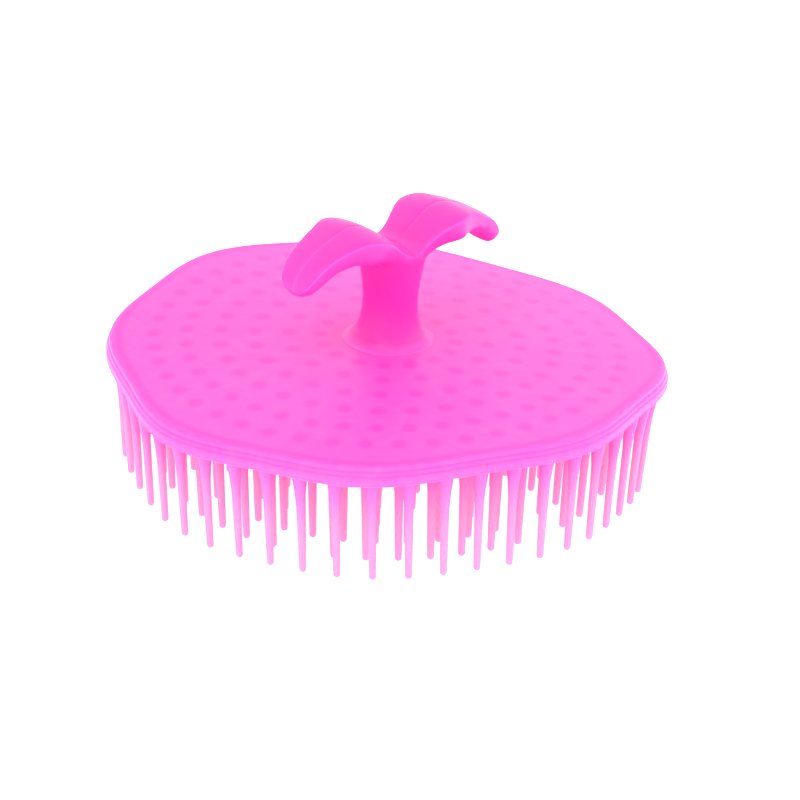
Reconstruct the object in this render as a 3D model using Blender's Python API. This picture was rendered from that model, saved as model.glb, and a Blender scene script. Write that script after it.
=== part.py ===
"""Scalp massager brush: a lobed bristle disc, and a two-winged handle pressed into its centre.

Metres, +Z up. The origin is on the disc's axis, level with the lowest pin tips, and +X runs along
one wing of the handle.
"""

import math

import bmesh
import bpy
from mathutils import Matrix, Vector

MM = 0.001
FULL_TURN = 2 * math.pi
QUARTER_TURN = math.pi / 2
ROUGHNESS = 0.35

# Bristle disc: a plate arched along X, nearly straight along Y, with a deeper rim of eight lobes.
ARCH_RADIUS = 325 * MM
CROSS_RADIUS = 4000 * MM
PLATE_THICKNESS = 2.0 * MM
PLATE_RADII = [16 * MM, 30 * MM, 41 * MM]
RIM_RADIUS = 47.9 * MM
RIM_DEPTH = 3.3 * MM
RIM_WIDTH = 2.6 * MM
RIM_EDGE = 0.5 * MM
RIM_LIP = 0.8 * MM
RIM_STEP = 0.2 * MM
LOBE_COUNT = 8
LOBE_DEPTH = 0.85 * MM
DISC_SIDES = 48
DISC_COLOR = (1.0, 0.18, 0.70)

# Pins: rings of equal pins, which lean in with the arch but by less than its slope.
RING_RADII = [radius * MM for radius in (11.7, 17.2, 23.0, 29.0, 34.9, 40.4, 46.1)]
RING_PINS = [16, 16, 24, 32, 40, 46, 48]
RING_TURNS = [0, 0, 0, 0, 0, 0.5, 0]  # share of the step between two pins
OUTER_RING_LOBE_DEPTH = 0.4 * MM
PIN_LEAN_SHARE = 0.75
PIN_REACH = 21.8 * MM
PIN_INSET = 1.0 * MM
PIN_NECK_REACH = 9.3 * MM
PIN_ROOT_RADIUS = 1.3 * MM
PIN_NECK_RADIUS = 0.75 * MM
PIN_END_RADIUS = 0.5 * MM
PIN_SIDES = 6

# Handle: a round post with a foot and a snap-in spigot, which splits into two leaf-shaped wings.
GAP = 0.3 * MM
SPIGOT_RADIUS = 4.0 * MM
SNAP_HEAD_RADIUS = 4.9 * MM
SNAP_HEAD_END_RADIUS = 4.3 * MM
SNAP_HEAD_LENGTH = 1.8 * MM
FOOT_RADIUS = 7.8 * MM
FOOT_EDGE = 0.5 * MM
FOOT_TOP_RADIUS = 7.2 * MM
HALF_SIDES = 12
WING_TOP_SIDES = 8
HANDLE_COLOR = (0.98, 0.09, 0.55)
MERGE_DISTANCE = 0.01 * MM
SHARP_ANGLE = math.radians(40)
ROWS_PER_STATION = 2
POST_SQUARENESS = 2.0
UNDERSIDE_SQUARENESS = 3.4
TOP_SQUARENESS = 8.0
SPLIT_SHARE = 0.24
SPLIT_STATIONS = 3

# Each station of one half of the handle, in millimetres from the top of the disc: the point on the
# upper side (across, up), the point on the outer side (across, up), half the width, and how far the
# upper side falls from its middle to its edges.
POST_STATIONS = [
    ((0, 1.0), (6.4, 1.0), 6.4, 0),
    ((0, 1.9), (5.7, 1.9), 5.7, 0),
    ((0, 3.4), (5.2, 3.4), 5.2, 0),
    ((0, 5.6), (4.85, 5.6), 4.85, 0),
    ((0, 8.0), (4.8, 8.0), 4.8, 0),
    ((0, 10.6), (5.05, 10.2), 4.95, 0),
    ((0, 13.2), (5.35, 11.9), 5.2, 0.2),
    ((0, 15.6), (5.55, 13.2), 5.5, 0.6),
]
WING_STATIONS = [
    ((0, 17.7), (5.75, 14.4), 5.8, 1.0),
    ((1.6, 18.4), (6.1, 15.5), 5.6, 0.8),
    ((3.2, 19.6), (6.7, 16.4), 5.8, 0.7),
    ((4.9, 21.0), (7.6, 17.0), 6.5, 0.7),
    ((6.9, 22.3), (8.9, 17.2), 7.3, 0.8),
    ((9.0, 22.9), (10.3, 17.3), 7.5, 0.8),
    ((11.2, 22.9), (11.6, 17.4), 6.8, 0.6),
    ((13.5, 22.2), (13.0, 17.5), 6.0, 0.5),
    ((15.8, 21.3), (14.6, 17.2), 5.4, 0.4),
    ((18.0, 20.2), (16.2, 16.7), 4.9, 0.4),
    ((19.9, 18.8), (17.7, 15.7), 4.5, 0.3),
    ((21.4, 17.1), (19.0, 14.7), 4.0, 0.3),
    ((22.3, 15.5), (20.1, 13.8), 3.2, 0.2),
    ((22.6, 14.3), (21.2, 13.2), 1.8, 0.1),
]
WING_TIP = (22.15, 13.4)


def arch_drop(across, along):
    """How far the top of the disc has fallen at this place."""
    return across * across / (2 * ARCH_RADIUS) + along * along / (2 * CROSS_RADIUS)


def place_at(angle, radius):
    return radius * math.cos(angle), radius * math.sin(angle)


def pin_slopes(across, along):
    """How far a pin leans along X and along Y for each unit that it rises."""
    return PIN_LEAN_SHARE * across / ARCH_RADIUS, PIN_LEAN_SHARE * along / CROSS_RADIUS


def lobe_wave(angle):
    return math.cos(LOBE_COUNT * angle)


def rim_radius(angle):
    return RIM_RADIUS + LOBE_DEPTH * lobe_wave(angle)


def lowest_point_below_top():
    """How far the lowest edge of a pin's tip is below the top of the disc, at the end of the arch."""
    radius = RING_RADII[-1] + OUTER_RING_LOBE_DEPTH
    lean = math.atan(pin_slopes(radius, 0)[0])
    return arch_drop(radius, 0) + PIN_REACH * math.cos(lean) + PIN_END_RADIUS * math.sin(lean)


DISC_TOP = lowest_point_below_top()


def clear_scene():
    for old in list(bpy.data.objects):
        bpy.data.objects.remove(old, do_unlink=True)


def plastic(name, color, roughness):
    material = bpy.data.materials.new(name)
    material.use_nodes = True
    shader = material.node_tree.nodes["Principled BSDF"]
    shader.inputs["Base Color"].default_value = (*color, 1)
    shader.inputs["Roughness"].default_value = roughness
    shader.inputs["Metallic"].default_value = 0
    return material


def object_from(bm, name):
    """Makes an object of a closed mesh, with its faces pointing out."""
    bmesh.ops.recalc_face_normals(bm, faces=bm.faces[:])
    mesh = bpy.data.meshes.new(name)
    bm.to_mesh(mesh)
    bm.free()
    made = bpy.data.objects.new(name, mesh)
    bpy.context.scene.collection.objects.link(made)
    return made


def join_rings(bm, rings, closed):
    """Quads between each ring of points and the next; closed also joins each ring's two ends."""
    count = len(rings[0])
    for lower, upper in zip(rings, rings[1:]):
        for index in range(count if closed else count - 1):
            following = (index + 1) % count
            bm.faces.new((lower[index], lower[following], upper[following], upper[index]))


def disc_profile(angle):
    """The disc's section at this angle, from the top of its hole, over the rim and back under it."""
    outer = rim_radius(angle)
    hole = SPIGOT_RADIUS + GAP

    def top_height(radius):
        return DISC_TOP - arch_drop(*place_at(angle, radius))

    top = [(radius, top_height(radius)) for radius in [hole] + PLATE_RADII]
    rim_top = top_height(outer)
    rim = [
        (outer - RIM_EDGE, top_height(outer - RIM_EDGE)),
        (outer - RIM_STEP, rim_top - RIM_EDGE),
        (outer - RIM_STEP, rim_top - RIM_LIP),
        (outer, rim_top - RIM_LIP - RIM_STEP),
        (outer, rim_top - RIM_DEPTH + RIM_STEP),
        (outer - RIM_STEP, rim_top - RIM_DEPTH),
        (outer - RIM_WIDTH, rim_top - RIM_DEPTH),
        (outer - RIM_WIDTH, rim_top - PLATE_THICKNESS),
    ]
    under = [(radius, height - PLATE_THICKNESS) for radius, height in reversed(top)]
    return top + rim + under


def disc_plate():
    bm = bmesh.new()
    sections = []
    for index in range(DISC_SIDES):
        angle = FULL_TURN * index / DISC_SIDES
        points = disc_profile(angle)
        sections.append([bm.verts.new((*place_at(angle, r), z)) for r, z in points])
    join_rings(bm, sections + [sections[0]], closed=True)
    return object_from(bm, "bristle_disc")


def pin_places():
    """Where each pin's axis meets the top of the disc, seen from above."""
    for radius, count, turn in zip(RING_RADII, RING_PINS, RING_TURNS):
        outermost = radius == RING_RADII[-1]
        for index in range(count):
            angle = FULL_TURN * (index + turn) / count
            swing = OUTER_RING_LOBE_DEPTH * lobe_wave(angle) if outermost else 0
            yield place_at(angle, radius + swing)


def add_pin(bm, across, along):
    """One pin, built down its own axis and then leaned and moved to its place."""
    rows = [
        (PIN_INSET, PIN_ROOT_RADIUS),
        (PIN_NECK_REACH, PIN_NECK_RADIUS),
        (PIN_REACH, PIN_END_RADIUS),
    ]
    axis = Vector((*pin_slopes(across, along), 1))
    lean = Vector((0, 0, 1)).rotation_difference(axis).to_matrix().to_4x4()
    place = Matrix.Translation((across, along, DISC_TOP - arch_drop(across, along))) @ lean
    rings = []
    for reach, pin_radius in rows:
        ring = []
        for side in range(PIN_SIDES):
            point = Vector((*place_at(FULL_TURN * side / PIN_SIDES, pin_radius), -reach))
            ring.append(bm.verts.new(place @ point))
        rings.append(ring)
    join_rings(bm, rings, closed=True)
    bm.faces.new(rings[0])
    bm.faces.new(rings[-1])


def pin_set():
    """All the pins in one helper, which the disc is joined with."""
    bm = bmesh.new()
    for across, along in pin_places():
        add_pin(bm, across, along)
    pins = object_from(bm, "pin_set")
    pins.hide_render = True
    pins.display_type = "WIRE"
    return pins


def make_bristle_disc():
    disc = disc_plate()
    union = disc.modifiers.new("pins", "BOOLEAN")
    union.operation = "UNION"
    union.solver = "EXACT"
    union.object = pin_set()
    disc.data.materials.append(plastic("disc_pink", DISC_COLOR, ROUGHNESS))
    return disc


def blended(before, start, end, after, share):
    """A point on the Catmull-Rom curve from start to end."""
    square = share * share
    cube = square * share
    return 0.5 * (
        2 * start
        + (end - before) * share
        + (2 * before - 5 * start + 4 * end - after) * square
        + (3 * start - before - 3 * end + after) * cube
    )


def wing_share(place):
    """How much of a section is the wing's shape and not the post's, from 0 up to 1 past the split."""
    past = (place - len(POST_STATIONS)) / SPLIT_STATIONS
    past = min(max(past, 0), 1)
    return past * past * (3 - 2 * past)


def smooth_stations():
    """The stations and the rows between them, each as (place, its six sizes in metres)."""
    stations = [
        [size * MM for size in (*upper, *outer, width, fall)]
        for upper, outer, width, fall in POST_STATIONS + WING_STATIONS
    ]
    last = len(stations) - 1
    rows = []
    for index in range(last):
        around = [max(index - 1, 0), index, index + 1, min(index + 2, last)]
        for step in range(ROWS_PER_STATION):
            share = step / ROWS_PER_STATION
            row = [blended(*sizes, share) for sizes in zip(*[stations[i] for i in around])]
            if index < len(POST_STATIONS):
                row[0] = 0
            rows.append((index + share, row))
    rows.append((last, stations[last]))
    return rows


def rounded(value, squareness):
    """A sine or cosine, bent so that an ellipse becomes a rounded box."""
    return math.copysign(abs(value) ** (2 / squareness), value)


def section(place, row):
    """The points round one section: those of its outer side, then those of its upper side."""
    upper = Vector((row[0], 0, row[1]))
    outer = Vector((row[2], 0, row[3]))
    half_width, fall = row[4:]
    share = wing_share(place)
    middle = upper.lerp(outer, SPLIT_SHARE * share)

    def side_points(reach, sides, squareness, falling):
        bend = POST_SQUARENESS + (squareness - POST_SQUARENESS) * share
        points = []
        for index in range(sides + 1):
            angle = QUARTER_TURN * (2 * index / sides - 1)
            wide = rounded(math.sin(angle), bend)
            deep = rounded(max(math.cos(angle), 0), bend)
            down = fall * wide * wide * (1 - falling * deep)
            points.append(middle + Vector((0, half_width * wide, -down)) + reach * deep)
        return points

    return (
        side_points(outer - middle, HALF_SIDES, UNDERSIDE_SQUARENESS, 1),
        side_points(upper - middle, WING_TOP_SIDES, TOP_SQUARENESS, 0),
    )


def foot_rows():
    """The turned rows of the spigot and the foot, as (radius, height above the disc's top)."""
    neck_end = -PLATE_THICKNESS - arch_drop(SPIGOT_RADIUS, 0) - GAP
    return [
        (SNAP_HEAD_END_RADIUS, neck_end - SNAP_HEAD_LENGTH),
        (SNAP_HEAD_RADIUS, neck_end - SNAP_HEAD_LENGTH / 2),
        (SNAP_HEAD_RADIUS, neck_end),
        (SPIGOT_RADIUS, neck_end),
        (SPIGOT_RADIUS, GAP),
        (FOOT_RADIUS, GAP),
        (FOOT_RADIUS, GAP + FOOT_EDGE / 2),
        (FOOT_TOP_RADIUS, GAP + FOOT_EDGE),
    ]


def half_ring(bm, radius, height):
    """Half a circle of points, on the +X side."""
    ring = []
    for index in range(HALF_SIDES + 1):
        angle = QUARTER_TURN * (2 * index / HALF_SIDES - 1)
        across = 0 if index in (0, HALF_SIDES) else radius * math.cos(angle)
        ring.append(bm.verts.new((across, radius * math.sin(angle), DISC_TOP + height)))
    return ring


def add_wing_rows(bm, rings):
    """Adds the post's and the wing's outer rows to rings, and returns the wing's upper rows."""
    lift = Vector((0, 0, DISC_TOP))
    tops = []
    for place, row in smooth_stations():
        outer_points, upper_points = section(place, row)
        ring = [bm.verts.new(point + lift) for point in outer_points]
        rings.append(ring)
        if place >= len(POST_STATIONS):
            between = [bm.verts.new(point + lift) for point in upper_points[1:-1]]
            tops.append([ring[0]] + between + [ring[-1]])
    return tops


def close_wing_tip(bm, outer, upper):
    tip = bm.verts.new(Vector((WING_TIP[0] * MM, 0, DISC_TOP + WING_TIP[1] * MM)))
    for first, second in zip(outer, outer[1:]):
        bm.faces.new((first, second, tip))
    for first, second in zip(upper, upper[1:]):
        bm.faces.new((second, first, tip))


def close_spigot_end(bm, ring):
    centre = bm.verts.new((0, 0, ring[0].co.z))
    for first, second in zip(ring, ring[1:]):
        bm.faces.new((second, first, centre))


def make_handle():
    """One half of the handle, mirrored across the plane between the wings."""
    bm = bmesh.new()
    rings = [half_ring(bm, radius, height) for radius, height in foot_rows()]
    tops = add_wing_rows(bm, rings)
    join_rings(bm, rings, closed=False)
    join_rings(bm, [list(reversed(top)) for top in tops], closed=False)
    close_wing_tip(bm, rings[-1], tops[-1])
    close_spigot_end(bm, rings[0])
    bmesh.ops.mirror(bm, geom=bm.verts[:] + bm.edges[:] + bm.faces[:], axis="X", merge_dist=MERGE_DISTANCE)
    handle = object_from(bm, "handle")
    handle.data.shade_smooth()
    handle.data.set_sharp_from_angle(angle=SHARP_ANGLE)
    handle.data.materials.append(plastic("handle_pink", HANDLE_COLOR, ROUGHNESS))
    return handle


def main():
    clear_scene()
    make_bristle_disc()
    make_handle()


main()
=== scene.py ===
"""The looks of the scalp massager brush: its plate, its pins and its handle, in fine detail."""

import math

import bmesh
import bpy
import numpy as np
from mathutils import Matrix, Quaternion, Vector


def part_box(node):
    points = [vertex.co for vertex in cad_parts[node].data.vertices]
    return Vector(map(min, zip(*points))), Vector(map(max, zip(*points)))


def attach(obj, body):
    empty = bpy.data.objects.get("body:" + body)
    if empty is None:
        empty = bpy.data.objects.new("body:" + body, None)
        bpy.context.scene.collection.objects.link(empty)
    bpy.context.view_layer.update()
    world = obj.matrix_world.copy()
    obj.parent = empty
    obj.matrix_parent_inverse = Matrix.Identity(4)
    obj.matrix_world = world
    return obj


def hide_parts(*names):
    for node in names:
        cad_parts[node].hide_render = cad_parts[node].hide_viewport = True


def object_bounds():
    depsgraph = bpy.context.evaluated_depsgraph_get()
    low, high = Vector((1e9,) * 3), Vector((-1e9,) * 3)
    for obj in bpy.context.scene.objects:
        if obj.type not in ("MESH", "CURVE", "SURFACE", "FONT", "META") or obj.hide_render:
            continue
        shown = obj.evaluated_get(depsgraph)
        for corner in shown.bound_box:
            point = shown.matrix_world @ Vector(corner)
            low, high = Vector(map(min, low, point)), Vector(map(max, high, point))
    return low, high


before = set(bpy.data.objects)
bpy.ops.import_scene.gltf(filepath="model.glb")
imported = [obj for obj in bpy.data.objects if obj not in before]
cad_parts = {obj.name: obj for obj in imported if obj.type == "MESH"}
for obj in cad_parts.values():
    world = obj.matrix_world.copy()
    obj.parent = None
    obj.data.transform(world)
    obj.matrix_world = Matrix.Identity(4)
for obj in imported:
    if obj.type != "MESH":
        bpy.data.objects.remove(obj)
cad_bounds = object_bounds()

MM = 0.001
FULL_TURN = 2 * math.pi
QUARTER_TURN = math.pi / 2

# The disc, as the CAD has it. Its top is the highest point of its node.
DISC_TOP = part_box("bristle_disc")[1].z
ARCH_RADIUS = 325 * MM
CROSS_RADIUS = 4000 * MM
PLATE_THICKNESS = 2.0 * MM
RIM_RADIUS = 47.9 * MM
RIM_DEPTH = 3.3 * MM
LOBE_COUNT = 8
LOBE_DEPTH = 0.85 * MM
HOLE_RADIUS = 4.3 * MM
DISC_SIDES = 640
TOP_RINGS = 96
UNDER_RINGS = 32

# How deep the disc's colour looks, from 0 at its palest to 1 at its deepest. Bands are soft edges.
PLATE_DEPTH = 0.35
UNDERSIDE_DEPTH = 0.24
# Painted shade round the handle's foot, where the post stands on the plate.
FOOT_SURROUND_SHADE = 0.012
FOOT_SURROUND_BAND = (6 * MM, 16 * MM)
MARK_DEPTH = 0.32
DOT_BAND = (0.75 * MM, 1.75 * MM)
OUTER_DOT_FADE = 0.55
OUTER_DOT_BAND = (43 * MM, 44.5 * MM)
# The line along the rim's inner edge: partly the thick rim seen through the plate, partly painted
# shade.
EDGE_LINE_STRENGTH = 0.95
EDGE_LINE_BAND = (0.25 * MM, 0.85 * MM)
EDGE_LINE_INSET = 0.2 * MM
EDGE_LINE_SWING = 1.6
RIM_SHADE = 0.30
# Painted shade darkens the rim along its two grooves.
GROOVES_DOWN = (0.74 * MM, 1.49 * MM)
GROOVE_WIDTH = 0.12 * MM
GROOVE_SHADE = 0.06
WALL_PALENESS = 0.06
WALL_BAND = (1.6 * MM, 3.0 * MM)
PIN_TIP_DEPTH = 0.01
PIN_ROOT_DEPTH = 0.26
PIN_PALE_SHARE = 0.7

# The pins.
RING_RADII = [radius * MM for radius in (11.7, 17.2, 23.0, 29.0, 34.9, 40.4, 46.1)]
RING_PINS = [16, 16, 24, 32, 40, 46, 48]
RING_TURNS = [0, 0, 0, 0, 0, 0.5, 0]  # share of the step between two pins
OUTER_RING_LOBE_DEPTH = 0.4 * MM
PIN_LEAN_SHARE = 0.75
PIN_REACH = 21.8 * MM
PIN_ROOT_RADIUS = 1.38 * MM
PIN_NECK_RADIUS = 0.76 * MM
PIN_NECK_REACH = 9.3 * MM
PIN_END_RADIUS = 0.61 * MM
PIN_FILLET = 0.15 * MM
PIN_SUNK = 0.5 * MM
PIN_SUNK_TAPER = 0.1 * MM
PIN_BULGE = 0.12
PIN_SIDES = 14
PIN_ROOT_ROWS = 8
PIN_NECK_ROWS = 5
PIN_TIP_ROWS = 5

# The camera, which aims a little beside and below the top of the disc.
CAMERA_AZIMUTH = math.radians(-43.3)
CAMERA_ELEVATION = math.radians(24.78)
CAMERA_ROLL = math.radians(3.11)
CAMERA_LENS = 156.5
CAMERA_SENSOR = 36
CAMERA_CLIP_START = 0.05
CAMERA_DISTANCE = 0.601
AIM_RIGHT = 2.05 * MM
AIM_DOWN = 10.86 * MM


def smooth_step(low, high, value):
    """0 up to low and 1 from high, with a soft rise between them."""
    share = np.clip((value - low) / (high - low), 0, 1)
    return share * share * (3 - 2 * share)


def arch_drop(x, y):
    """How far the arched disc falls below its centre."""
    return x * x / (2 * ARCH_RADIUS) + y * y / (2 * CROSS_RADIUS)


def lobe_wave(angle):
    return np.cos(LOBE_COUNT * angle)


def rim_radius(angle):
    return RIM_RADIUS + LOBE_DEPTH * lobe_wave(angle)


def pin_places():
    """Where each pin's axis meets the top of the disc, seen from above."""
    places = []
    for radius, count, turn in zip(RING_RADII, RING_PINS, RING_TURNS):
        for index in range(count):
            angle = FULL_TURN * (index + turn) / count
            swing = OUTER_RING_LOBE_DEPTH * lobe_wave(angle) if radius == RING_RADII[-1] else 0
            places.append(((radius + swing) * math.cos(angle), (radius + swing) * math.sin(angle)))
    return places


def arc(centre, radius, start_degrees, end_degrees, steps):
    """Points on an arc in a section's plane, as (across, down)."""
    angles = np.radians(np.linspace(start_degrees, end_degrees, steps))
    return [(centre[0] + radius * math.cos(a), centre[1] + radius * math.sin(a)) for a in angles]


def rim_section():
    """The rim's outline as (distance inside the rim, depth under its top), from the top inwards.

    Its points are in millimetres until the last line.
    """
    shoulder = arc((0.9, 0.35), 0.35, -90, -180, 7)
    upper_land = [(0.52, 0.55), (0.53, 0.66), (0.55, 0.74), (0.50, 0.82), (0.40, 0.90)]
    lower_land = [(0.30, 1.00), (0.24, 1.12), (0.20, 1.36), (0.22, 1.45), (0.20, 1.53), (0.10, 1.62)]
    wall = [(0.02, 1.72), (0.0, 2.1), (0.0, 2.6), (0.0, 3.0)]
    foot = arc((0.3, 3.0), 0.3, 180, 90, 6) + [(1.2, 3.3)] + arc((2.3, 3.0), 0.3, 90, 0, 6)
    inside = [(2.6, 2.7)] + arc((3.0, 2.4), 0.4, -180, -90, 6)
    return np.array(shoulder + upper_land + lower_land + wall + foot + inside) * MM


def rim_depth(section):
    """The rim has painted shade in its two grooves, and looks paler down its wall."""
    down = section[:, 1]
    grooves = sum(np.exp(-(((down - groove) / GROOVE_WIDTH) ** 2)) for groove in GROOVES_DOWN)
    return RIM_SHADE + GROOVE_SHADE * grooves - WALL_PALENESS * smooth_step(*WALL_BAND, down)


def grid_faces(rows, columns, closed_rows, closed_columns):
    """Quads over a grid of points numbered row by row."""
    row = np.arange(rows if closed_rows else rows - 1)[:, None]
    column = np.arange(columns if closed_columns else columns - 1)[None, :]
    next_row = (row + 1) % rows
    next_column = (column + 1) % columns
    corners = [
        row * columns + column,
        row * columns + next_column,
        next_row * columns + next_column,
        next_row * columns + column,
    ]
    return np.stack([np.broadcast_to(c, (row.size, column.size)).ravel() for c in corners], axis=1)


def make_object(name, points, faces, depth):
    """A smooth mesh object whose depth attribute says how deep its colour looks: partly how much
    plastic light passes there, partly painted shade and highlights.
    """
    mesh = bpy.data.meshes.new(name)
    mesh.from_pydata(np.asarray(points).reshape(-1, 3).tolist(), [], faces)
    layer = mesh.attributes.new("depth", "FLOAT", "POINT")
    layer.data.foreach_set("value", np.asarray(depth, np.float32).ravel())
    mesh.validate()
    mesh.shade_smooth()
    made = bpy.data.objects.new(name, mesh)
    bpy.context.scene.collection.objects.link(made)
    return made


def nearest_pin_distance(x, y):
    """How far each point is from the nearest pin's axis, seen from above."""
    distance = np.full(x.shape, np.inf)
    for across, along in pin_places():
        distance = np.minimum(distance, np.hypot(x - across, y - along))
    return distance


def plate_depth(x, y):
    """The plate looks deeper over each pin's root, and along the rim's inner edge, partly the thick
    rim seen through it and partly painted shade; a little painted shade deepens it round the foot.
    """
    radius = np.hypot(x, y)
    angle = np.arctan2(y, x)
    dots = 1 - smooth_step(*DOT_BAND, nearest_pin_distance(x, y))
    dots *= 1 - OUTER_DOT_FADE * smooth_step(*OUTER_DOT_BAND, radius)
    # The line along the rim's inner edge is partly painted shade.
    swing = EDGE_LINE_SWING * OUTER_RING_LOBE_DEPTH * lobe_wave(angle)
    line_radius = RING_RADII[-1] + swing - EDGE_LINE_INSET
    line = EDGE_LINE_STRENGTH * (1 - smooth_step(*EDGE_LINE_BAND, np.abs(radius - line_radius)))
    # Painted shade round the foot.
    foot_shade = 1 - smooth_step(*FOOT_SURROUND_BAND, radius)
    return PLATE_DEPTH + MARK_DEPTH * np.maximum(dots, line) + FOOT_SURROUND_SHADE * foot_shade


def make_plate():
    """The plate and its rim, as one ring of skin turned round the handle's hole."""
    angles = FULL_TURN * np.arange(DISC_SIDES) / DISC_SIDES
    outer = rim_radius(angles)
    rim = rim_section()
    share = np.linspace(0, 1, TOP_RINGS)[:, None]
    top_radius = HOLE_RADIUS + (outer - rim[0, 0] - HOLE_RADIUS) * share
    rim_radii = outer[None, :] - rim[:, :1]
    under_share = np.linspace(1, 0, UNDER_RINGS)[:, None]
    under_radius = HOLE_RADIUS + (outer - rim[-1, 0] - HOLE_RADIUS) * under_share
    radii = np.concatenate([top_radius, rim_radii[1:-1], under_radius])
    x = radii * np.cos(angles)
    y = radii * np.sin(angles)
    heights = DISC_TOP - arch_drop(x, y)
    rim_top = DISC_TOP - arch_drop(outer * np.cos(angles), outer * np.sin(angles))
    rim_rows = slice(TOP_RINGS, TOP_RINGS + len(rim) - 2)
    heights[rim_rows] = rim_top[None, :] - rim[1:-1, 1:]
    heights[rim_rows.stop :] -= PLATE_THICKNESS
    depth = np.full(radii.shape, UNDERSIDE_DEPTH)
    depth[rim_rows] = rim_depth(rim)[1:-1, None]
    depth[:TOP_RINGS] = plate_depth(x[:TOP_RINGS], y[:TOP_RINGS])
    points = np.stack([x, y, heights], axis=-1)
    faces = grid_faces(len(radii), DISC_SIDES, closed_rows=True, closed_columns=True)
    return make_object("bristle_plate", points, faces[:, ::-1].tolist(), depth)


def pin_rows():
    """A pin's outline as (reach from the plate's top, radius), from inside the plate to its tip."""
    rows = [
        (PLATE_THICKNESS - PIN_SUNK, PIN_ROOT_RADIUS - PIN_SUNK_TAPER),
        (PLATE_THICKNESS, PIN_ROOT_RADIUS + PIN_FILLET),
        (PLATE_THICKNESS + PIN_FILLET, PIN_ROOT_RADIUS),
    ]
    for share in np.linspace(0, 1, PIN_ROOT_ROWS):
        eased = share + PIN_BULGE * math.sin(math.pi * share)
        rows.append(
            (
                RIM_DEPTH + (PIN_NECK_REACH - RIM_DEPTH) * share,
                PIN_ROOT_RADIUS + (PIN_NECK_RADIUS - PIN_ROOT_RADIUS) * eased,
            )
        )
    end = PIN_REACH - PIN_END_RADIUS
    for share in np.linspace(0, 1, PIN_NECK_ROWS)[1:]:
        rows.append(
            (
                PIN_NECK_REACH + (end - PIN_NECK_REACH) * share,
                PIN_NECK_RADIUS + (PIN_END_RADIUS - PIN_NECK_RADIUS) * share,
            )
        )
    for share in np.linspace(0, 1, PIN_TIP_ROWS + 1)[1:-1]:
        turn = QUARTER_TURN * share
        rows.append((end + PIN_END_RADIUS * math.sin(turn), PIN_END_RADIUS * math.cos(turn)))
    return np.array(rows)


def make_pins():
    """Every pin, each a closed turned shape that leans in with the arch, in one object."""
    rows = pin_rows()
    around = FULL_TURN * np.arange(PIN_SIDES) / PIN_SIDES
    ring_x = rows[:, 1:] * np.cos(around)
    ring_y = rows[:, 1:] * np.sin(around)
    ring_z = np.repeat(-rows[:, :1], PIN_SIDES, axis=1)
    body = np.stack([ring_x, ring_y, ring_z], axis=-1).reshape(-1, 3)
    ends = np.array([[0, 0, -rows[0, 0]], [0, 0, -PIN_REACH]])
    upright = np.concatenate([body, ends])
    sides = grid_faces(len(rows), PIN_SIDES, closed_rows=False, closed_columns=True).tolist()
    first, last = len(body), len(body) + 1
    start = (len(rows) - 1) * PIN_SIDES
    for index in range(PIN_SIDES):
        following = (index + 1) % PIN_SIDES
        sides.append([first, following, index])
        sides.append([last, start + index, start + following])
    one_depth = pin_depth(-upright[:, 2])
    points, faces, depth = [], [], []
    for number, (across, along) in enumerate(pin_places()):
        slope_x = PIN_LEAN_SHARE * across / ARCH_RADIUS
        slope_y = PIN_LEAN_SHARE * along / CROSS_RADIUS
        lean = Vector((0, 0, 1)).rotation_difference(Vector((slope_x, slope_y, 1)))
        root = np.array([across, along, DISC_TOP - arch_drop(across, along)])
        points.append(upright @ np.array(lean.to_matrix()).T + root)
        offset = number * len(upright)
        faces += [[offset + corner for corner in reversed(face)] for face in sides]
        depth.append(one_depth)
    return make_object("bristle_pins", np.concatenate(points), faces, np.concatenate(depth))


def pin_depth(reach):
    """A pin is deeper in colour at its thick root and paler towards its tip."""
    paleness = smooth_step(PLATE_THICKNESS, PIN_PALE_SHARE * PIN_REACH, reach)
    return PIN_TIP_DEPTH + PIN_ROOT_DEPTH * (1 - paleness)


# The handle.
HALF_SIDES = 44
ROWS_PER_STATION = 8
POST_SQUARENESS = 2.0
UNDERSIDE_SQUARENESS = 3.4
TOP_SQUARENESS = 8.0
SPLIT_SHARE = 0.24
SPLIT_STATIONS = 3
VEIN_DEPTH = 0.13 * MM
VEIN_WIDTH = 0.35 * MM
VEIN_FADE_WIDTH = 2.5 * MM
MERGE_DISTANCE = 0.001 * MM
SHARP_ANGLE = math.radians(50)

# How deep the handle's colour looks. Bands are soft edges, across from the axis or up from the disc.
HANDLE_DEPTH = 0.46
POST_DEPTH = 0.50
POST_BAND = (4 * MM, 12 * MM)
POST_TOP_BAND = (9 * MM, 19 * MM)
FOOT_PALENESS = 0.6
FOOT_BAND = (4.6 * MM, 7.4 * MM)
FOOT_TOP_BAND = (0.5 * MM, 3.5 * MM)
TIP_PALENESS = 0.08
TIP_BAND = (13 * MM, 21 * MM)
# Painted shade over the wings' upper sides, and a painted highlight along their edges.
WING_TOP_SHADE = 0.16
WING_TOP_BAND = (0.975, 1)
WING_EDGE_HIGHLIGHT = 0.33
WING_EDGE_BAND = (0.94, 0.975)
WING_EDGE_END_BAND = (0.985, 1)
WING_SHADE_STATIONS = 2
# Painted shade and a painted highlight along the vein's groove.
VEIN_SHADE = 0.16
VEIN_SHADE_WIDTH = 0.45 * MM
VEIN_HIGHLIGHT = 0.3
VEIN_HIGHLIGHT_BAND = (7 * MM, 14 * MM)

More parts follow.
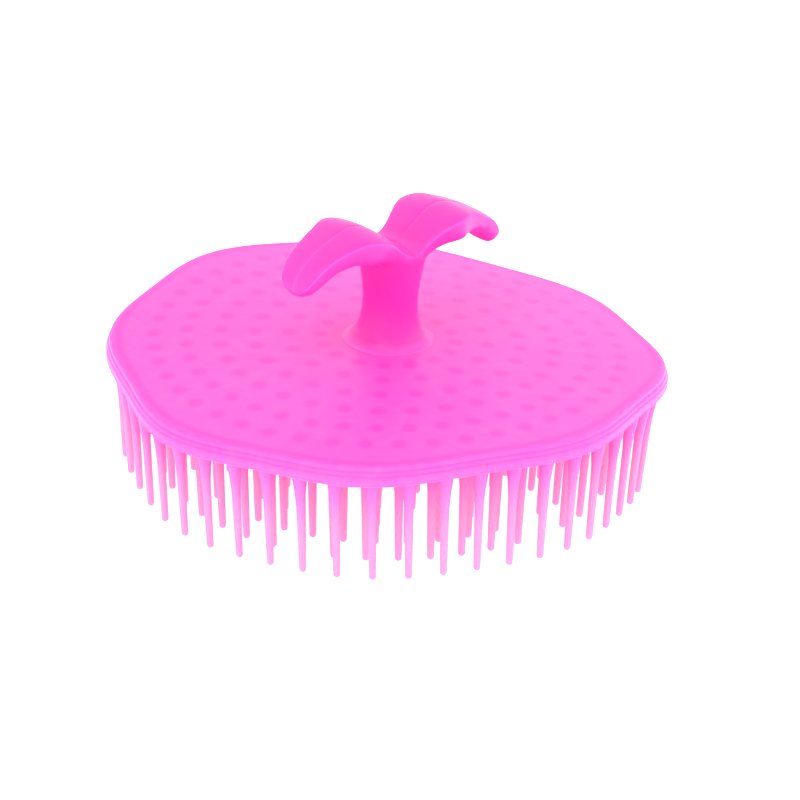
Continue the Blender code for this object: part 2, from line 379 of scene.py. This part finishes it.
# Each station of one half, in millimetres from the top of the disc: the point on the upper side
# (across, up), the point on the outer side (across, up), half the width, and how far the upper side
# falls from its middle to its edges.
POST_STATIONS = [
    ((0, 1.0), (6.4, 1.0), 6.4, 0),
    ((0, 1.9), (5.7, 1.9), 5.7, 0),
    ((0, 3.4), (5.2, 3.4), 5.2, 0),
    ((0, 5.6), (4.85, 5.6), 4.85, 0),
    ((0, 8.0), (4.8, 8.0), 4.8, 0),
    ((0, 10.6), (5.05, 10.2), 4.95, 0),
    ((0, 13.2), (5.35, 11.9), 5.2, 0.2),
    ((0, 15.6), (5.55, 13.2), 5.5, 0.6),
]
WING_STATIONS = [
    ((0, 17.7), (5.75, 14.4), 5.8, 1.0),
    ((1.6, 18.4), (6.1, 15.5), 5.6, 0.8),
    ((3.2, 19.6), (6.7, 16.4), 5.8, 0.7),
    ((4.9, 21.0), (7.6, 17.0), 6.5, 0.7),
    ((6.9, 22.3), (8.9, 17.2), 7.3, 0.8),
    ((9.0, 22.9), (10.3, 17.3), 7.5, 0.8),
    ((11.2, 22.9), (11.6, 17.4), 6.8, 0.6),
    ((13.5, 22.2), (13.0, 17.5), 6.0, 0.5),
    ((15.8, 21.3), (14.6, 17.2), 5.4, 0.4),
    ((18.0, 20.2), (16.2, 16.7), 4.9, 0.4),
    ((19.9, 18.8), (17.7, 15.7), 4.5, 0.3),
    ((21.4, 17.1), (19.0, 14.7), 4.0, 0.3),
    ((22.3, 15.5), (20.1, 13.8), 3.2, 0.2),
    ((22.6, 14.3), (21.2, 13.2), 1.8, 0.1),
]
WING_TIP = (22.15, 13.4)
# The snap head, the spigot and the foot, each row as (radius, up) in millimetres.
FOOT_ROWS = [
    (4.3, -4.1),
    (4.8, -3.5),
    (4.9, -3.2),
    (4.9, -2.5),
    (4.7, -2.35),
    (4.0, -2.3),
    (4.0, -0.12),
    (7.9, -0.12),
    (7.98, -0.06),
    (7.98, -0.02),
    (7.92, 0.02),
    (7.8, 0.04),
    (7.6, 0.07),
    (7.3, 0.13),
    (7.0, 0.27),
    (6.74, 0.48),
    (6.54, 0.76),
]
# Where the points of a wing's upper side lie, from its middle to its edge.
UPPER_SPREAD = [0, 0.015, 0.03, 0.05, 0.075, 0.11, 0.16, 0.22, 0.3, 0.4, 0.5, 0.6, 0.7, 0.78, 0.85]
UPPER_SPREAD += [0.9, 0.94, 0.965, 0.98, 0.99, 0.996, 0.9995, 1]


def blended(before, start, end, after, share):
    """A point on the Catmull-Rom curve from start to end."""
    square = share * share
    cube = square * share
    return (
        2 * start
        + (end - before) * share
        + (2 * before - 5 * start + 4 * end - after) * square
        + (3 * start - before - 3 * end + after) * cube
    ) / 2


def smooth_stations():
    """The handle's rows, each as (place along the stations, its six sizes in metres)."""
    stations = MM * np.array(
        [(*upper, *outer, width, fall) for upper, outer, width, fall in POST_STATIONS + WING_STATIONS]
    )
    last = len(stations) - 1
    rows = []
    for index in range(last):
        around = [max(index - 1, 0), index, index + 1, min(index + 2, last)]
        for step in range(ROWS_PER_STATION):
            share = step / ROWS_PER_STATION
            row = blended(*[stations[i] for i in around], share)
            if index < len(POST_STATIONS):
                row[0] = 0
            rows.append((index + share, row))
    rows.append((last, stations[last]))
    return rows


def section(place, row):
    """The points round one section of the handle: its outer side, then its upper side."""
    upper = np.array([row[0], 0, row[1]])
    outer = np.array([row[2], 0, row[3]])
    half_width, fall = row[4:]
    share = smooth_step(0, 1, (place - len(POST_STATIONS)) / SPLIT_STATIONS)
    middle = upper + (outer - upper) * SPLIT_SHARE * share

    turn = QUARTER_TURN * np.linspace(-1, 1, HALF_SIDES + 1)
    bend = POST_SQUARENESS + (UNDERSIDE_SQUARENESS - POST_SQUARENESS) * share
    wide = np.sign(np.sin(turn)) * np.abs(np.sin(turn)) ** (2 / bend)
    deep = np.maximum(np.cos(turn), 0) ** (2 / bend)
    down = fall * wide**2 * (1 - deep)
    outer_points = middle + np.outer(deep, outer - middle)
    outer_points += np.stack([0 * wide, half_width * wide, -down], axis=-1)

    spread = np.array(UPPER_SPREAD)
    wide = np.concatenate([-spread[:0:-1], spread])
    bend = POST_SQUARENESS + (TOP_SQUARENESS - POST_SQUARENESS) * share
    deep = (1 - np.abs(wide) ** bend) ** (1 / bend)
    down = fall * wide**2
    fade = share * smooth_step(0, VEIN_FADE_WIDTH, half_width)
    vein = fade * VEIN_DEPTH * np.exp(-((half_width * wide / VEIN_WIDTH) ** 2))
    inward = (outer - upper) / np.linalg.norm(outer - upper)
    upper_points = middle + np.outer(deep, upper - middle) + np.outer(vein, inward)
    upper_points += np.stack([0 * wide, half_width * wide, -down], axis=-1)
    return outer_points, upper_points


def half_ring(bm, radius, height):
    """Half a circle of points, on the +X side."""
    ring = []
    for index in range(HALF_SIDES + 1):
        angle = QUARTER_TURN * (2 * index / HALF_SIDES - 1)
        across = 0 if index in (0, HALF_SIDES) else radius * math.cos(angle)
        ring.append(bm.verts.new((across, radius * math.sin(angle), DISC_TOP + height)))
    return ring


def join_rings(bm, rings):
    """Quads between each open ring of points and the next."""
    for lower, upper in zip(rings, rings[1:]):
        for index in range(len(lower) - 1):
            bm.faces.new((lower[index], lower[index + 1], upper[index + 1], upper[index]))


def close_with_point(bm, ring, point):
    centre = bm.verts.new(point)
    for first, second in zip(ring, ring[1:]):
        bm.faces.new((first, second, centre))


def handle_depth(co):
    """The handle looks deepest down its thick post and palest at the foot and the wings' tips."""
    away = math.hypot(co.x, co.y)
    height = co.z - DISC_TOP
    post = (1 - smooth_step(*POST_BAND, away)) * (1 - smooth_step(*POST_TOP_BAND, height))
    foot = smooth_step(*FOOT_BAND, away) * (1 - smooth_step(*FOOT_TOP_BAND, height))
    tip = smooth_step(*TIP_BAND, abs(co.x))
    return HANDLE_DEPTH + POST_DEPTH * post - FOOT_PALENESS * foot - TIP_PALENESS * tip


def upper_shade_and_highlight(wide, place):
    """Painted shade deepens a wing's upper side and a painted highlight runs along its edges, except
    where the wings meet.
    """
    side = np.abs(wide)
    # A painted highlight along the edge, and painted shade over the rest of the upper side.
    edge = smooth_step(*WING_EDGE_BAND, side) * (1 - smooth_step(*WING_EDGE_END_BAND, side))
    top = 1 - smooth_step(*WING_TOP_BAND, side)
    along = smooth_step(0, WING_SHADE_STATIONS, place - len(POST_STATIONS))
    return (WING_TOP_SHADE * top - WING_EDGE_HIGHLIGHT * edge) * along


def vein_shade_and_highlight(co):
    """Painted shade along the vein's groove where it leaves the post, and a painted highlight along
    it near the wing's end.
    """
    line = math.exp(-((co.y / VEIN_SHADE_WIDTH) ** 2))
    return line * (VEIN_SHADE - VEIN_HIGHLIGHT * smooth_step(*VEIN_HIGHLIGHT_BAND, abs(co.x)))


def make_handle():
    """Both halves of the handle, joined on the plane between the wings."""
    bm = bmesh.new()
    depth = bm.verts.layers.float.new("depth")
    lift = np.array([0, 0, DISC_TOP])
    rings = [half_ring(bm, radius * MM, height * MM) for radius, height in FOOT_ROWS]
    foot = rings[0]
    tops = []
    wide = np.array([-share for share in UPPER_SPREAD[:0:-1]] + UPPER_SPREAD)
    for place, row in smooth_stations():
        outer_points, upper_points = section(place, row)
        ring = [bm.verts.new(point + lift) for point in outer_points]
        rings.append(ring)
        if place >= len(POST_STATIONS):
            between = [bm.verts.new(point + lift) for point in upper_points[1:-1]]
            tops.append([ring[0]] + between + [ring[-1]])
            for vertex, shade in zip(tops[-1], upper_shade_and_highlight(wide, place)):
                vertex[depth] = shade + vein_shade_and_highlight(vertex.co)
    join_rings(bm, rings)
    join_rings(bm, [list(reversed(top)) for top in tops])
    tip = Vector((WING_TIP[0] * MM, 0, DISC_TOP + WING_TIP[1] * MM))
    close_with_point(bm, rings[-1] + list(reversed(tops[-1][:-1])), tip)
    close_with_point(bm, list(reversed(foot)), Vector((0, 0, foot[0].co.z)))
    for vertex in bm.verts:
        vertex[depth] += handle_depth(vertex.co)
    everything = bm.verts[:] + bm.edges[:] + bm.faces[:]
    bmesh.ops.mirror(bm, geom=everything, axis="X", merge_dist=MERGE_DISTANCE)
    bmesh.ops.recalc_face_normals(bm, faces=bm.faces[:])
    mesh = bpy.data.meshes.new("grip_handle")
    bm.to_mesh(mesh)
    bm.free()
    mesh.shade_smooth()
    mesh.set_sharp_from_angle(angle=SHARP_ANGLE)
    made = bpy.data.objects.new("grip_handle", mesh)
    bpy.context.scene.collection.objects.link(made)
    return made


# Materials. Each shade is (how deep the plastic looks, its colour).
DISC_SHADES = ((0, (0.95, 0.25, 0.46)), (0.35, (0.93, 0.092, 0.56)), (1, (0.90, 0.028, 0.47)))
HANDLE_SHADES = ((0, (0.95, 0.12, 0.62)), (0.6, (0.93, 0.042, 0.45)), (1, (0.90, 0.034, 0.48)))
DISC_ROUGHNESS = 0.38
HANDLE_ROUGHNESS = 0.36
SMOOTHER_BY = 0.05
ROUGHER_BY = 0.06
CLOUD_SCALE = 90
CLOUD_DETAIL = 3
CLOUD_DEPTH = 0.07
STREAK_SCALE = 420
STREAK_DETAIL = 2
STREAK_STRETCH = (1, 1, 0.12)
STREAK_DEPTH = 0.12
GRAIN_SCALE = 2200
GRAIN_DETAIL = 4
GRAIN_HEIGHT = 0.04 * MM
GRAIN_STRENGTH = 0.12
GLOW = 0.3
GLOW_DEPTH = 0.3
PLASTIC_IOR = 1.45
PLASTIC_SHINE = 0.4
SCATTER_SHARE = 0.5
SCATTER_RADIUS = (1.0, 0.3, 0.7)
SCATTER_DISTANCE = 2.5 * MM


def node(tree, kind, **settings):
    made = tree.nodes.new(kind)
    for name, value in settings.items():
        setattr(made, name, value)
    return made


def noise(tree, source, scale, detail):
    made = node(tree, "ShaderNodeTexNoise")
    made.inputs["Scale"].default_value = scale
    made.inputs["Detail"].default_value = detail
    tree.links.new(source, made.inputs["Vector"])
    return made


def added_noise(tree, source, factor, size):
    """The source with a noise's factor added, spread evenly about zero over the given size."""
    spread = node(tree, "ShaderNodeMath", operation="MULTIPLY_ADD")
    spread.inputs[1].default_value = size
    spread.inputs[2].default_value = -size / 2
    total = node(tree, "ShaderNodeMath", operation="ADD")
    tree.links.new(factor, spread.inputs[0])
    tree.links.new(source, total.inputs[0])
    tree.links.new(spread.outputs[0], total.inputs[1])
    return total.outputs[0]


def translucent_plastic(name, shades, roughness):
    """Satin soft plastic, paler where it is thin and where highlights are painted, deeper where shade
    is painted, with faint clouds, flow marks and a fine grain.
    """
    material = bpy.data.materials.new(name)
    material.use_nodes = True
    tree = material.node_tree
    link = tree.links.new
    shader = tree.nodes["Principled BSDF"]
    depth = node(tree, "ShaderNodeAttribute", attribute_name="depth").outputs["Fac"]
    place = node(tree, "ShaderNodeTexCoord").outputs["Object"]
    clouds = noise(tree, place, CLOUD_SCALE, CLOUD_DETAIL)
    stretch = node(tree, "ShaderNodeMapping")
    stretch.inputs["Scale"].default_value = STREAK_STRETCH
    link(place, stretch.inputs["Vector"])
    streaks = noise(tree, stretch.outputs["Vector"], STREAK_SCALE, STREAK_DETAIL)
    marked = added_noise(tree, depth, streaks.outputs["Fac"], STREAK_DEPTH)
    total = added_noise(tree, marked, clouds.outputs["Fac"], CLOUD_DEPTH)

    ramp = node(tree, "ShaderNodeValToRGB")
    stops = ramp.color_ramp.elements
    stops.new(shades[1][0])
    for stop, (position, colour) in zip(stops, shades):
        stop.position = position
        stop.color = (*colour, 1)
    link(total, ramp.inputs["Fac"])
    link(ramp.outputs["Color"], shader.inputs["Base Color"])

    # A weak glow in the thin, pale places stands for the light that passes through them.
    glow = node(tree, "ShaderNodeMapRange")
    glow.inputs["From Max"].default_value = GLOW_DEPTH
    glow.inputs["To Min"].default_value = GLOW
    glow.inputs["To Max"].default_value = 0
    link(depth, glow.inputs["Value"])
    link(glow.outputs["Result"], shader.inputs["Emission Strength"])
    link(ramp.outputs["Color"], shader.inputs["Emission Color"])

    grain = noise(tree, place, GRAIN_SCALE, GRAIN_DETAIL)
    bump = node(tree, "ShaderNodeBump")
    bump.inputs["Strength"].default_value = GRAIN_STRENGTH
    bump.inputs["Distance"].default_value = GRAIN_HEIGHT
    link(grain.outputs["Fac"], bump.inputs["Height"])
    link(bump.outputs["Normal"], shader.inputs["Normal"])

    shine = node(tree, "ShaderNodeMapRange")
    shine.inputs["To Min"].default_value = roughness - SMOOTHER_BY
    shine.inputs["To Max"].default_value = roughness + ROUGHER_BY
    link(clouds.outputs["Fac"], shine.inputs["Value"])
    link(shine.outputs["Result"], shader.inputs["Roughness"])
    shader.inputs["IOR"].default_value = PLASTIC_IOR
    shader.inputs["Specular IOR Level"].default_value = PLASTIC_SHINE
    shader.inputs["Subsurface Weight"].default_value = SCATTER_SHARE
    shader.inputs["Subsurface Radius"].default_value = SCATTER_RADIUS
    shader.inputs["Subsurface Scale"].default_value = SCATTER_DISTANCE
    return material


def dress(piece, material, cad_node):
    piece.data.materials.append(material)
    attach(piece, "root")
    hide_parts(cad_node)


def make_object_pieces():
    disc_plastic = translucent_plastic("disc_plastic", DISC_SHADES, DISC_ROUGHNESS)
    handle_plastic = translucent_plastic("handle_plastic", HANDLE_SHADES, HANDLE_ROUGHNESS)
    dress(make_plate(), disc_plastic, "bristle_disc")
    dress(make_pins(), disc_plastic, "bristle_disc")
    dress(make_handle(), handle_plastic, "handle")


# The stage: a pale floor that glows like a light table, a white room and two soft lights.
FLOOR_SIZE = 3.0
FLOOR_DROP = 0.02 * MM
FLOOR_COLOUR = (0.6, 0.6, 0.6)
FLOOR_ROUGHNESS = 0.8
FLOOR_SHINE = 0.1
FLOOR_GLOW = 1.0
WHITE = (1, 1, 1, 1)
ROOM_BRIGHTNESS = 1.18
KEY_PLACE = (-0.45, -0.15, 0.60)
KEY_SIZE = 0.45
KEY_POWER = 1.1
FILL_PLACE = (0.40, -0.40, 0.35)
FILL_SIZE = 0.5
FILL_POWER = 0.6


def make_floor():
    bm = bmesh.new()
    bmesh.ops.create_grid(bm, x_segments=1, y_segments=1, size=FLOOR_SIZE / 2)
    mesh = bpy.data.meshes.new("floor")
    bm.to_mesh(mesh)
    bm.free()
    floor = bpy.data.objects.new("floor", mesh)
    floor.location.z = cad_bounds[0].z - FLOOR_DROP
    bpy.context.scene.collection.objects.link(floor)
    material = bpy.data.materials.new("light_table")
    material.use_nodes = True
    shader = material.node_tree.nodes["Principled BSDF"]
    shader.inputs["Base Color"].default_value = (*FLOOR_COLOUR, 1)
    shader.inputs["Roughness"].default_value = FLOOR_ROUGHNESS
    shader.inputs["Specular IOR Level"].default_value = FLOOR_SHINE
    shader.inputs["Emission Color"].default_value = WHITE
    shader.inputs["Emission Strength"].default_value = FLOOR_GLOW
    mesh.materials.append(material)


def make_light(name, location, size, power):
    """A round soft light, turned towards the origin."""
    data = bpy.data.lights.new(name, "AREA")
    data.shape = "DISK"
    data.size = size
    data.energy = power
    light = bpy.data.objects.new(name, data)
    light.location = location
    light.rotation_mode = "QUATERNION"
    light.rotation_quaternion = (-Vector(location)).to_track_quat("-Z", "Y")
    bpy.context.scene.collection.objects.link(light)


def make_lighting():
    world = bpy.data.worlds.new("studio")
    world.use_nodes = True
    background = world.node_tree.nodes["Background"]
    background.inputs["Color"].default_value = WHITE
    background.inputs["Strength"].default_value = ROOM_BRIGHTNESS
    bpy.context.scene.world = world
    make_light("key", KEY_PLACE, KEY_SIZE, KEY_POWER)
    make_light("fill", FILL_PLACE, FILL_SIZE, FILL_POWER)


def make_camera():
    """A long lens that looks from above and between the wings, rolled a little."""
    data = bpy.data.cameras.new("camera")
    data.lens = CAMERA_LENS
    data.sensor_width = CAMERA_SENSOR
    data.clip_start = CAMERA_CLIP_START
    camera = bpy.data.objects.new("camera", data)
    bpy.context.scene.collection.objects.link(camera)
    flat = math.cos(CAMERA_ELEVATION)
    back = Vector(
        (
            math.sin(CAMERA_AZIMUTH) * flat,
            -math.cos(CAMERA_AZIMUTH) * flat,
            math.sin(CAMERA_ELEVATION),
        )
    )
    facing = (-back).to_track_quat("-Z", "Y")
    rolled = facing @ Quaternion((0, 0, 1), CAMERA_ROLL)
    right = rolled @ Vector((1, 0, 0))
    up = rolled @ Vector((0, 1, 0))
    aim = Vector((0, 0, DISC_TOP)) + right * AIM_RIGHT - up * AIM_DOWN
    camera.location = aim + back * CAMERA_DISTANCE
    camera.rotation_mode = "QUATERNION"
    camera.rotation_quaternion = rolled
    bpy.context.scene.camera = camera


make_object_pieces()
make_floor()
make_lighting()
make_camera()
bpy.context.scene.view_settings.view_transform = "Standard"
